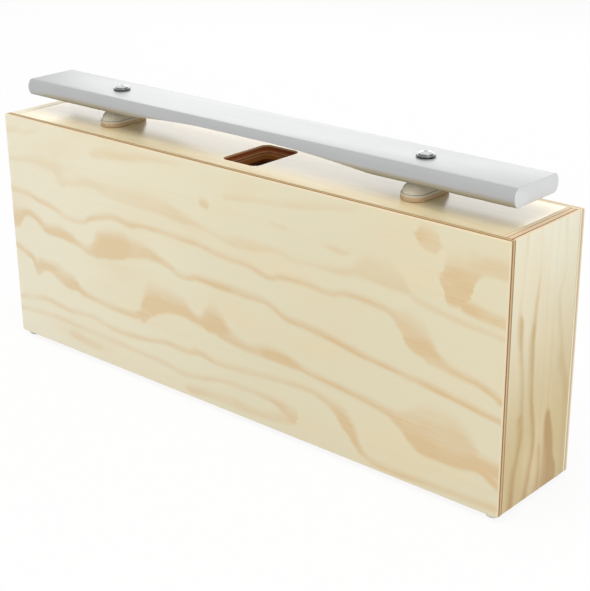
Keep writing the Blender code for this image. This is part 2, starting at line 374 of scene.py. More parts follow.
@dataclass(frozen=True)
class PineVeneer(Finish):
    """Rotary-cut pine under a thin clear lacquer, with painted shade towards one end of the sheet.

    Attributes:
        along: Measures along the grain.
        across: Measures across it, on the face of the sheet.
        sheet: Length and width of the sheet in millimetres.
        lines: The bands of late wood. Without any, they follow the contours of a random field.
        contrast: How strongly the figure shows.
        sap: Colour of the pale wood.
        late: Colour of the bands.
        shaded_sap: Painted shade: the darker, tanner colour that the pale wood tends to at the sheet's far
            end.
        deep: Painted shade: the darker colour that the bands tend to there.
        shade_strength: How far the painted shade gets, from 0 to 1.
        lacquer: Refractive index of the lacquer.
        haze: Roughness of the lacquer.
    """

    along: Ruler = Ruler(Axis.X, 0.0)
    across: Ruler = Ruler(Axis.Z, 0.0)
    sheet: Point = (450.0, 176.0)
    lines: tuple[GrainLine, ...] = ()
    contrast: float = 1.0
    sap: Colour = shade(238, 230, 202)
    late: Colour = shade(227, 202, 156)
    shaded_sap: Colour = shade(202, 190, 150)
    deep: Colour = shade(200, 166, 116)
    shade_strength: float = 0.45
    lacquer: float = 1.5
    haze: float = 0.2

    HONEY = shade(230, 210, 168)
    TEETH = 6.0
    WANDER = 3.0

    def paint(self, graph: Graph) -> None:
        """Add the figure with its ragged rims, the fibres, the lacquer and painted shade towards the sheet's
        far end.
        """
        along = self.along.read(graph)
        across = self.across.read(graph)
        slow = graph.noise(along * 0.03, across * 0.05, self.seed, detail=3.0)
        teeth = graph.noise(along * 0.03, across * 0.4, self.seed + 7.0, detail=4.0, roughness=0.65)
        shifted = along + (teeth - 0.5) * self.TEETH
        wander = across + (slow - 0.5) * self.WANDER
        streak = graph.noise(along * 0.02, across * 0.9, self.seed + 15.0, detail=3.0, roughness=0.6)
        patchy = graph.noise(along * 0.025, across * 0.07, self.seed + 21.0, detail=3.0)
        fade = (0.5 + streak * 0.9) * (0.7 + graph.smooth(patchy, 0.3, 0.7) * 0.65)
        figure = self._figure(graph, shifted, wander) * fade * self.contrast
        fibre = graph.noise(along * 0.06, across * 4.0, self.seed + 3.0, detail=3.0, roughness=0.6)
        blotch = graph.noise(along * 0.012, across * 0.035, self.seed + 11.0, detail=3.0)
        # Painted shade: the wood darkens and turns tanner towards the far end of the sheet along the grain,
        # and a little across it.
        length, width = self.sheet
        shade_ramp = along * (0.9 / length) + across * (0.1 / width)
        shade_share = graph.smooth(shade_ramp, 0.0, 0.8) * self.shade_strength
        pale = graph.mix(self.sap, self.shaded_sap, shade_share)
        warm = graph.mix(pale, self.HONEY, graph.smooth(blotch, 0.42, 0.75) * 0.45)
        wood = graph.mix(warm, graph.mix(self.late, self.deep, shade_share), figure)
        light = 1 + (fibre - 0.5) * (0.05 + figure * 0.05)
        graph.surface({
            "Base Color": graph.scale(wood, light),
            "Roughness": 0.5 + fibre * 0.15,
            "Coat Weight": 0.8 + fibre * 0.2,
            "Coat Roughness": self.haze,
            "Coat IOR": self.lacquer,
            "Normal": graph.bump(fibre + figure * 0.4, 0.03, 0.4),
        })

    def _figure(self, graph: Graph, along: Wire, across: Wire) -> Wire:
        """Return how much late wood shows at a place, from 0 to 1."""
        if not self.lines:
            contour = graph.noise(along * 0.005, across * 0.03, self.seed)
            phase = graph.math("FRACT", contour * 9 + across * 0.012)
            return graph.smooth(phase, 0.45, 0.85) * (1 - graph.smooth(phase, 0.88, 1.0))
        bands = [line.band(graph, along, across, self.sheet) for line in self.lines]
        figure = bands[0]
        for band in bands[1:]:
            figure = graph.math("MAXIMUM", figure, band)
        return figure


@dataclass(frozen=True)
class PlyEdge(Finish):
    """The sawn edge of plywood, which shows its layers.

    Attributes:
        depth: Measures from the outer face into the sheet.
        run: Measures along the edge.
        thickness: Thickness of the sheet in millimetres.
        layers: Where each layer starts, in millimetres from the outer face, and its colour.
        soot: How much a hot cutter has blackened the edge, from 0 to 1.
    """

    depth: Ruler = Ruler(Axis.Y, 0.0)
    run: Ruler = Ruler(Axis.X, 0.0)
    thickness: float = 5.0
    layers: tuple[tuple[float, Colour], ...] = ((0.0, shade(232, 214, 180)),)
    soot: float = 0.0

    SOFT = 0.12
    UNEVEN = 0.5
    CHAR = shade(38, 16, 8)

    def paint(self, graph: Graph) -> None:
        """Add the layers, the soot and the marks of the saw."""
        run = self.run.read(graph)
        depth = self.depth.read(graph)
        uneven = graph.noise(run * 0.08, depth * 0.3, self.seed, detail=3.0)
        share = (depth + (uneven - 0.5) * self.UNEVEN) / self.thickness
        ends = [start for start, _ in self.layers[1:]] + [self.thickness]
        stops = []
        for (start, colour), end in zip(self.layers, ends):
            stops += [(level / self.thickness, colour) for level in (start + self.SOFT, end - self.SOFT)]
        layers = graph.ramp(share, stops)
        saw = graph.noise(run * 2.5, depth * 0.8, self.seed + 5.0, detail=3.0, roughness=0.7)
        burn = graph.noise(run * 0.12, depth * 0.25, self.seed + 9.0)
        charred = graph.mix(layers, self.CHAR, graph.smooth(burn, 0.35, 0.75) * self.soot)
        graph.surface({
            "Base Color": graph.scale(charred, 0.85 + saw * 0.3),
            "Roughness": 0.55 + saw * 0.2,
            "Normal": graph.bump(saw, 0.12, 0.5),
        })


@dataclass(frozen=True)
class SatinAluminium(Finish):
    """Bead-blasted and clear anodised aluminium with a faint lengthwise grain, and painted shade along its
    lower edges.

    Attributes:
        colour: Its lighter tone.
        dull: The least roughness.
        rise: Measures up from the underside.
        painted_shade_reach: How far up the painted shade along the lower edges reaches, in millimetres.
    """

    colour: Colour = shade(193, 194, 194)
    dull: float = 0.36
    rise: Ruler = Ruler(Axis.Z, 0.0)
    painted_shade_reach: float = 4.0

    def paint(self, graph: Graph) -> None:
        """Add the blasted grain, the faint draw lines and painted shade along the lower edges."""
        x, y, z = graph.place
        grain = graph.speckle(2600, roughness=0.6)
        drawn = graph.noise(x * 30, y * 1500, z * 1500, detail=3.0, roughness=0.6)
        cloud = graph.noise(x * 18, y * 40, z * 40)
        tone = graph.mix(self.colour, dimmed(self.colour, 0.9), cloud)
        # Painted shade: the colour darkens to 0.7 of its tone towards the bar's lower edges.
        unshaded = graph.smooth(self.rise.read(graph), 0.0, self.painted_shade_reach)
        graph.surface({
            "Base Color": graph.scale(tone, (0.97 + grain * 0.06) * (0.7 + unshaded * 0.3)),
            "Metallic": 1.0,
            "Roughness": self.dull + drawn * 0.10 + (grain - 0.5) * 0.05,
            "Normal": graph.bump(grain * 0.6 + drawn * 0.5, 0.012, 0.35),
        })


@dataclass(frozen=True)
class WoolFelt(Finish):
    """Off-white pressed wool felt.

    Attributes:
        colour: Its lighter tone.
        tufted: The tone of its tufts.
    """

    colour: Colour = shade(216, 208, 190)
    tufted: Colour = shade(206, 197, 178)

    def paint(self, graph: Graph) -> None:
        """Add matted fibres and soft tufts."""
        x, y, z = graph.place
        tuft = graph.speckle(420, 4.0, 0.7)
        hair = graph.noise(x * 2400, y * 2400, z * 900, detail=3.0, roughness=0.7)
        tone = graph.mix(self.colour, self.tufted, graph.smooth(tuft, 0.4, 0.75) * 0.6)
        graph.surface({
            "Base Color": graph.scale(tone, 0.92 + hair * 0.16),
            "Roughness": 0.9 + hair * 0.1,
            "Sheen Weight": 0.25,
            "Normal": graph.bump(tuft * 0.6 + hair * 0.6, 0.25, 0.6),
        })


@dataclass(frozen=True)
class Cork(Finish):
    """Fine, pale agglomerated cork, faced with felt above.

    Attributes:
        colour: Colour of the granules.
        rims: Colour of their rims.
        bark: Colour of the bark between them.
        felt: The two tones of the facing.
        depth: Measures down from the top of the plate.
        facing: Thickness of the facing in millimetres.
    """

    colour: Colour = shade(204, 178, 140)
    rims: Colour = shade(178, 147, 106)
    bark: Colour = shade(128, 92, 58)
    felt: tuple[Colour, Colour] = (shade(214, 206, 188), shade(196, 186, 166))
    depth: Ruler = Ruler(Axis.Z, 0.0, -1)
    facing: float = 1.4

    SOFT = 0.2

    def paint(self, graph: Graph) -> None:
        """Add the granules, the dark bark between them and the facing."""
        granule = graph.cells(1100)
        bark = graph.speckle(1400, 3.0, 0.7)
        tone = graph.mix(self.colour, self.rims, graph.smooth(granule, 0.3, 0.75) * 0.6)
        dark = graph.mix(tone, self.bark, graph.smooth(bark, 0.64, 0.8) * 0.5)
        below = graph.smooth(self.depth.read(graph), self.facing - self.SOFT, self.facing + self.SOFT)
        graph.surface({
            "Base Color": graph.mix(graph.mix(*self.felt, bark), dark, below),
            "Roughness": 0.8 + bark * 0.15,
            "Normal": graph.bump(granule + bark * 0.4, 0.12, 0.6),
        })


@dataclass(frozen=True)
class BrightZinc(Finish):
    """Bright zinc plating on steel."""

    colour: Colour = shade(222, 223, 224)

    def paint(self, graph: Graph) -> None:
        """Add faint clouds in the plating and fine tool marks."""
        cloud = graph.speckle(260, 3.0)
        marks = graph.speckle(3200)
        graph.surface({
            "Base Color": graph.mix(self.colour, dimmed(self.colour, 0.8), graph.smooth(cloud, 0.3, 0.8)),
            "Metallic": 1.0,
            "Roughness": 0.16 + cloud * 0.14,
            "Normal": graph.bump(marks, 0.006, 0.3),
        })


@dataclass(frozen=True)
class MilkyPlastic(Finish):
    """Natural nylon or clear soft rubber, cloudy in the mass.

    Attributes:
        colour: Its darker tone.
        milk: The tone of its clouds.
        gloss: The least roughness.
        clear: How much light goes through, from 0 to 1.
    """

    colour: Colour = shade(228, 227, 220)
    milk: Colour = shade(240, 240, 236)
    gloss: float = 0.4
    clear: float = 0.0

    def paint(self, graph: Graph) -> None:
        """Add cloudiness and a moulded skin."""
        cloud = graph.speckle(330, 3.0)
        skin = graph.speckle(1900)
        graph.surface({
            "Base Color": graph.scale(graph.mix(self.colour, self.milk, cloud), 0.96 + skin * 0.06),
            "Roughness": self.gloss + skin * 0.12,
            "Transmission Weight": self.clear,
            "Normal": graph.bump(skin, 0.03, 0.3),
        })


@dataclass(frozen=True)
class PaleFloor(Finish):
    """A pale matt table that the camera and shiny surfaces see as nearly white.

    Attributes:
        colour: Its darker tone.
        fleck: Its lighter tone.
        lift: Share of white in what the camera sees, from 0 to 1.
    """

    colour: Colour = shade(240, 240, 239)
    fleck: Colour = shade(244, 244, 243)
    lift: float = 0.9

    def paint(self, graph: Graph) -> None:
        """Mix white light into what the camera sees, and keep part of the object's shadow."""
        x, y, z = graph.place
        fleck = graph.noise(x * 60, y * 60, z, detail=3.0)
        matt = graph.wire("BsdfDiffuse", {"Color": graph.mix(self.colour, self.fleck, fleck)})
        white = graph.wire("Emission", {"Color": WHITE, "Strength": 1.0})
        graph.node("OutputMaterial", {"Surface": graph.blend(graph.seen() * self.lift, matt, white)})


def arc(centre: Point, radius: float, start: float, end: float, steps: int) -> list[Point]:
    """Return points along an arc in a plane, with angles in radians."""
    points = []
    for step in range(steps + 1):
        angle = start + (end - start) * step / steps
        points.append((centre[0] + radius * math.cos(angle), centre[1] + radius * math.sin(angle)))
    return points


def bow(half: float, rise: float) -> Point:
    """Return the radius of an arc and half the angle that it spans, from half its chord and its rise."""
    radius = (half * half + rise * rise) / (2 * rise)
    return radius, math.asin(half / radius)


def block(low: Vector, high: Vector) -> Mesh:
    """Return a box between two corners."""
    bm = bmesh.new()
    bmesh.ops.create_cube(bm, size=1.0)
    bmesh.ops.scale(bm, vec=high - low, verts=bm.verts)
    bmesh.ops.translate(bm, vec=(low + high) / 2, verts=bm.verts)
    return bm


def ease(bm: Mesh, edges: Sequence[Edge], offset: float, segments: int) -> None:
    """Round edges of a mesh."""
    bmesh.ops.bevel(
        bm, geom=list(edges), offset=offset, affect="EDGES", segments=segments, profile=0.5, material=-1,
        clamp_overlap=True,
    )


def moved(bm: Mesh, offset: Sequence[float]) -> Mesh:
    """Return a mesh after moving all of it."""
    bmesh.ops.translate(bm, vec=offset, verts=bm.verts)
    return bm


def sealed(bm: Mesh) -> Mesh:
    """Return a mesh after joining the points that coincide and turning its faces outwards."""
    bmesh.ops.remove_doubles(bm, verts=bm.verts, dist=COINCIDENT)
    bmesh.ops.recalc_face_normals(bm, faces=bm.faces)
    return bm


def turned(profile: Sequence[Point], closed: bool, steps: int) -> Mesh:
    """Return a shape turned about Z.

    Args:
        profile: Points as (radius, height).
        closed: True for a ring. An open profile starts and ends on the axis.
        steps: Number of segments round the axis.

    Returns:
        The mesh, facing outwards.
    """
    bm = bmesh.new()
    verts = [bm.verts.new((radius, 0, height)) for radius, height in profile]
    pairs = list(zip(verts, verts[1:]))
    if closed:
        pairs.append((verts[-1], verts[0]))
    edges = [bm.edges.new(pair) for pair in pairs]
    bmesh.ops.spin(
        bm, geom=verts + edges, cent=(0, 0, 0), axis=(0, 0, 1), angle=2 * math.pi, steps=steps,
        use_merge=True,
    )
    return sealed(bm)


def drill(radius: float, low: float, high: float, steps: int) -> Mesh:
    """Return a cutter for an upright round hole from one height to another."""
    return turned([(0, high), (radius, high), (radius, low), (0, low)], False, steps)


def oblong(profile: Sequence[Point], run: float, steps: int) -> Mesh:
    """Return a strip along Y with round ends.

    Args:
        profile: Half of its section as (reach, height), which starts and ends on the middle line.
        run: Length of the straight stretch.
        steps: Number of segments round each end and along the stretch.

    Returns:
        The mesh, facing outwards.
    """
    bm = bmesh.new()
    verts = [bm.verts.new((reach, run / 2, height)) for reach, height in profile]
    section = verts + [bm.edges.new(pair) for pair in zip(verts, verts[1:])]
    for end in (1, -1):
        centre = (0, end * run / 2, 0)
        turn = bmesh.ops.spin(bm, geom=section, cent=centre, axis=(0, 0, 1), angle=math.pi, steps=steps)
        draw = bmesh.ops.spin(bm, geom=turn["geom_last"], cent=centre, axis=(0, 0, 1), angle=0,
                              dvec=(0, -end * run / steps, 0), steps=steps)
        section = draw["geom_last"]
    return sealed(bm)


def stance(node: str) -> tuple[Vector, float, float]:
    """Return the middle of the underside of a node's box, half its length along X, and its height."""
    low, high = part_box(node)
    return Vector(((low.x + high.x) / 2, (low.y + high.y) / 2, low.z)), (high.x - low.x) / 2, high.z - low.z


def baked(name: str, bm: Mesh) -> bpy.types.Mesh:
    """Return a mesh as data. The working mesh is used up."""
    mesh = bpy.data.meshes.new(name)
    bm.to_mesh(mesh)
    bm.free()
    return mesh


def add(name: str, data: bpy.types.ID) -> bpy.types.Object:
    """Return a new object in the scene."""
    made = bpy.data.objects.new(name, data)
    bpy.context.scene.collection.objects.link(made)
    return made


def subtract(bm: Mesh, cutters: Sequence[Mesh]) -> Mesh:
    """Return a mesh with other meshes cut out of it. All of them are used up."""
    made = [add("blank", baked("blank", source)) for source in (bm, *cutters)]
    for cutter in made[1:]:
        boolean = made[0].modifiers.new("cut", "BOOLEAN")
        boolean.operation = "DIFFERENCE"
        boolean.solver = "EXACT"
        boolean.object = cutter
    result = bmesh.new()
    result.from_object(made[0], bpy.context.evaluated_depsgraph_get())
    for blank in made:
        mesh = blank.data
        bpy.data.objects.remove(blank, do_unlink=True)
        bpy.data.meshes.remove(mesh)
    return result


@dataclass
class Piece:
    """A finished mesh, and the CAD node that it stands for.

    Attributes:
        name: The piece's name.
        node: The node that it replaces.
        slot: The record's material slot. It is not used.
        body: The body that it moves with.
        bm: The mesh, in place. It is used up.
        materials: One material, or those that pick chooses between.
        pick: Returns the index of a face's material.
        crease: Edges that turn more than this many degrees stay sharp.
    """

    name: str
    node: str
    slot: Slot
    body: Body
    bm: Mesh
    materials: Sequence[bpy.types.Material]
    pick: Optional[Callable[[Face], int]] = None
    crease: float = 32.0

    def place(self) -> bpy.types.Object:
        """Add the piece to the scene, tie it to its body and hide its node."""
        if self.pick is not None:
            self.bm.normal_update()
            for face in self.bm.faces:
                face.material_index = self.pick(face)
        mesh = baked(self.name, self.bm)
        for material in self.materials:
            mesh.materials.append(material)
        mesh.shade_smooth()
        mesh.set_sharp_from_angle(angle=math.radians(self.crease))
        thing = add(self.name, mesh)
        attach(thing, self.body.value)
        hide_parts(self.node)
        LOG.info("%s: %d faces, moves with %s", self.name, len(mesh.polygons), self.body.value)
        return thing


class Assembly(ABC):
    """A sub-assembly that can put its finished pieces into the scene."""

    @abstractmethod
    def dress(self) -> list[bpy.types.Object]:
        """Build the meshes, give them their finishes and return the pieces."""


FRONT_FIGURE = (
    GrainLine((
        (0, 59, 2.5), (20, 58.7, 2.2), (33, 61, 2.5), (50, 64, 2.5), (67, 68.7, 2.2), (80, 68.7, 2.2),
        (90, 64, 2.6), (100, 60.3, 3), (117, 57.5, 2.6), (133, 59, 2.6), (150, 57, 2.2), (200, 57.5, 2.5),
        (217, 60.5, 2.3), (250, 62.3, 2.1), (267, 66.3, 2), (277, 63.3, 2.1), (300, 62, 2.2),
        (317, 64, 2.1), (333, 61.3, 2.2), (364, 62.8, 2.6), (376, 69, 8), (384, 74, 11.5), (392, 77, 11),
        (400, 83, 7.5), (408, 87.5, 4.2), (419, 90, 3.2), (433, 92.5, 2.6), (450, 99, 2.8),
    ), 0.95),
    GrainLine((
        (0, 82, 8.7), (7, 81, 7.5), (13, 76, 4.2), (20, 74, 3.2), (27, 76, 3.3), (33, 79, 4.2),
        (42, 83, 4.6), (55, 82, 5.3), (68, 84, 4.4), (77, 86.5, 3.2), (87, 89, 4.2), (95, 85, 8.5),
        (101, 82, 10.5), (117, 79, 10.8), (133, 76.7, 8.4), (145, 76, 6.6), (157, 77.7, 4.4),
        (170, 80.5, 2.9), (187, 85.5, 2.5), (200, 82.8, 2.9), (233, 83.3, 3.3), (263, 83.5, 2.7),
        (272, 86.7, 2.7), (280, 90.5, 2.5), (300, 92.2, 2.8), (333, 96.7, 3.2), (350, 99.2, 2.6),
        (383, 103, 2.5), (400, 104.5, 2.8), (450, 111.3, 2.3),
    )),
    GrainLine((
        (0, 103, 2.2), (13, 107, 3), (20, 110, 3.5), (25, 117, 7.2), (32, 114, 6), (40, 113.3, 5.2),
        (50, 115.5, 7.2), (60, 119, 7.2), (70, 120.5, 5.6), (77, 125, 3.4), (90, 126.5, 2.7),
        (110, 128.3, 2.6), (133, 127.8, 2.9), (141, 125, 5), (150, 114, 12.5), (157, 111.5, 11.2),
        (173, 108.7, 8.8), (187, 109.3, 7), (194, 112.5, 5), (199, 114, 4), (206, 112.3, 7),
        (215, 110.5, 10.2), (222, 113, 9.6), (229, 117.5, 6.4), (236, 120.5, 4.8), (247, 122, 4),
        (267, 120.5, 5.2), (283, 121.5, 4.8), (300, 124, 2.7), (350, 129, 2.9), (367, 131.7, 3.4),
    ), 0.92),
    GrainLine((
        (0, 130, 0), (358, 130, 0), (366, 131.7, 3.2), (376, 135, 6.5), (387, 137, 13.5),
        (399, 136.7, 16.4), (415, 137, 16.2), (426, 139, 13), (434, 143, 8), (442, 149, 4.6),
        (450, 155, 3.4),
    ), 0.95),
    GrainLine((
        (0, 146.5, 2.3), (17, 144.2, 2.5), (33, 141.7, 2.4), (60, 143.8, 2.2), (83, 142, 2.2),
        (117, 145.5, 2.3), (150, 143, 2.4), (167, 140.8, 2.5), (187, 141.7, 2.4), (200, 139.2, 2.5),
        (217, 141.3, 2.2), (253, 139.2, 2.5), (300, 136.3, 2.2), (313, 138.8, 3), (322, 142.5, 4.5),
        (328, 146.5, 7), (335, 151.7, 8), (340, 157.5, 7.2), (345, 165, 4.6), (353, 170.3, 2.6),
        (367, 171.7, 2.4), (450, 169.5, 2.4),
    ), 0.85),
    GrainLine((
        (0, 156.3, 2.8), (17, 154.7, 2.2), (33, 153.8, 2.2), (87, 155, 2.1), (133, 156.3, 2.1),
        (167, 158.3, 2.1), (182, 160.4, 2.2), (200, 158.7, 2.2), (213, 155.8, 2.5), (227, 153.3, 2.1),
        (250, 153.8, 2.2), (267, 154.2, 2.6), (278, 157, 5), (286, 160, 6.5), (291, 160, 3.5),
        (294, 160, 0), (450, 160, 0),
    ), 0.75),
    GrainLine((
        (0, 164, 0), (52, 163, 0), (60, 163, 3), (75, 164, 4), (92, 165, 3.6), (101, 165, 0),
        (182, 170, 0), (190, 170, 4), (207, 167.5, 4), (233, 167.5, 4.2), (253, 168.3, 3.4),
        (273, 165.8, 4.2), (284, 163, 5), (290, 161, 0), (450, 165, 0),
    ), 0.5),
    GrainLine((
        (0, 12, 3), (13, 9.5, 2.8), (20, 11, 2.4), (33, 7.5, 2), (45, 6, 0), (90, 14, 0), (100, 13, 4),
        (125, 10.5, 4), (150, 7, 3.4), (185, 4, 2), (200, 3, 0), (222, 19.5, 0), (230, 18.7, 2.4),
        (250, 16.2, 2.6), (267, 14.7, 2.6), (300, 10, 2.8), (317, 7.2, 2.4), (335, 4.5, 2.2), (350, 2, 0),
        (450, 2, 0),
    ), 0.4),
    GrainLine((
        (0, 34.5, 2.6), (20, 31.5, 2.4), (37, 30.5, 2.6), (52, 31, 3.5), (60, 38, 8.5), (68, 40, 4),
        (93, 36, 4.5), (117, 38, 6.5), (160, 37.5, 7.5), (187, 41.7, 5), (207, 44.7, 2.4),
        (217, 46.7, 2.2), (230, 49, 2.8), (240, 47.5, 5), (260, 46.7, 3.4), (273, 45.5, 2.4),
        (293, 48.7, 2), (313, 47.5, 2.6), (333, 46, 3.4), (342, 41, 6.5), (351, 39.5, 9), (363, 40, 9.4),
        (372, 42, 7.6), (380, 46, 4), (389, 51, 0), (450, 59, 0),
    ), 0.42),
    GrainLine((
        (0, 51, 0), (376, 49, 0), (387, 51, 2), (410, 55, 2), (450, 59, 2),
    ), 0.7),
    GrainLine((
        (0, 31, 0), (398, 31, 0), (406, 33, 10), (413, 32, 16.5), (421, 30, 16), (429, 21, 8.5),
        (437, 18, 6.5), (450, 18, 6.5),
    ), 0.85),
    GrainLine((
        (0, 44, 0), (412, 44, 0), (418, 45, 4), (428, 47, 5), (440, 49, 4), (450, 50, 4),
    ), 0.9),
    GrainLine((
        (0, 27, 0), (203, 27, 0), (207.5, 27, 3.6), (211.5, 28, 3.6), (216, 28, 0), (264, 28, 0),
        (271, 28, 1.4), (280, 29, 1.4), (287, 29, 0), (312, 33, 0), (320, 33, 1.6), (330, 34, 1.6),
        (338, 34, 0), (380, 10, 0), (387, 10, 6), (394, 11, 8), (401, 12, 6), (408, 13, 0), (450, 13, 0),
    ), 0.8),
)

END_FIGURE = (
    GrainLine((
        (0, 34, 0), (18, 34, 0), (36, 32.5, 1.2), (50, 30.5, 2.4), (75, 29, 3), (105, 31, 2.8),
        (125, 34.5, 2.6), (140, 35.5, 2.8), (155, 33, 3), (176, 29, 3.6),
    ), 0.85),
    GrainLine((
        (0, 60, 1), (34, 62, 1), (50, 57, 2), (80, 62, 2.8), (95, 64, 4.4), (110, 70, 4), (125, 72, 3.4),
        (150, 71, 2.4), (176, 72, 2.4),
    ), 0.4),
    GrainLine((
        (0, 18, 1), (30, 16, 0.6), (46, 14, 1.4), (54, 15, 3.6), (66, 16, 3), (76, 18, 2.2),
        (112, 21, 2.2), (118, 20, 3.6), (128, 21, 3.6), (140, 19, 3), (150, 16, 3.4), (176, 13, 4),
    ), 0.65),
    GrainLine((
        (0, 44, 0), (136, 44, 0), (147, 43.5, 2), (160, 44, 2.6), (176, 43, 4.2),
    ), 0.8),
    GrainLine((
        (0, 52, 0), (116, 52, 0), (126, 52, 3.2), (136, 53, 5), (146, 54, 6), (156, 54, 7),
        (166, 55, 9.5), (176, 54, 11.5),
    ), 1.1),
)


FACE_LAYERS = (
    (0.0, shade(232, 214, 180)), (1.5, shade(138, 101, 62)), (2.8, shade(208, 178, 132)),
    (4.2, shade(156, 119, 76)),
)
BACK_LAYERS = (
    (0.0, shade(236, 224, 196)), (1.7, shade(206, 180, 142)), (3.3, shade(236, 224, 196)),
)
PALE_LAYERS = (
    (0.0, shade(240, 232, 210)), (2.1, shade(228, 208, 176)), (2.7, shade(240, 232, 210)),
    (6.1, shade(232, 216, 188)), (6.6, shade(240, 232, 210)),
)
FRAME_LAYERS = (
    (0.0, shade(232, 214, 180)), (1.9, shade(150, 98, 60)), (2.9, shade(226, 200, 164)),
    (5.9, shade(186, 142, 102)), (6.7, shade(230, 212, 178)),
)
SCORCHED_LAYERS = (
    (0.0, shade(246, 206, 150)), (1.3, shade(176, 88, 42)), (3.4, shade(214, 134, 78)),
    (4.4, shade(252, 192, 138)), (5.3, shade(200, 116, 60)), (6.2, shade(252, 192, 134)),
    (7.2, shade(224, 150, 76)), (10.2, shade(150, 84, 40)),
)
SCORCH = 0.2

GLOSSY_TOP: dict[str, Any] = {
    "sap": shade(251, 234, 190), "late": shade(240, 214, 160), "contrast": 0.4, "shade_strength": 0.2,
    "lacquer": 1.85, "haze": 0.2,
}
# The end panels carry strong painted shade towards their lower edge.
TAN_END: dict[str, Any] = {
    "sap": shade(239, 235, 212), "late": shade(208, 180, 118), "shaded_sap": shade(197, 169, 99),
    "deep": shade(172, 130, 48), "contrast": 1.15, "shade_strength": 0.85, "lacquer": 1.3,
}


def swung(lines: Sequence[GrainLine], sheet: Point) -> tuple[GrainLine, ...]:
    """Return a figure turned half round in the plane of its sheet."""
    length, width = sheet
    return tuple(
        GrainLine(tuple((length - a, width - c, h) for a, c, h in reversed(line.points)), line.strength)
        for line in lines
    )


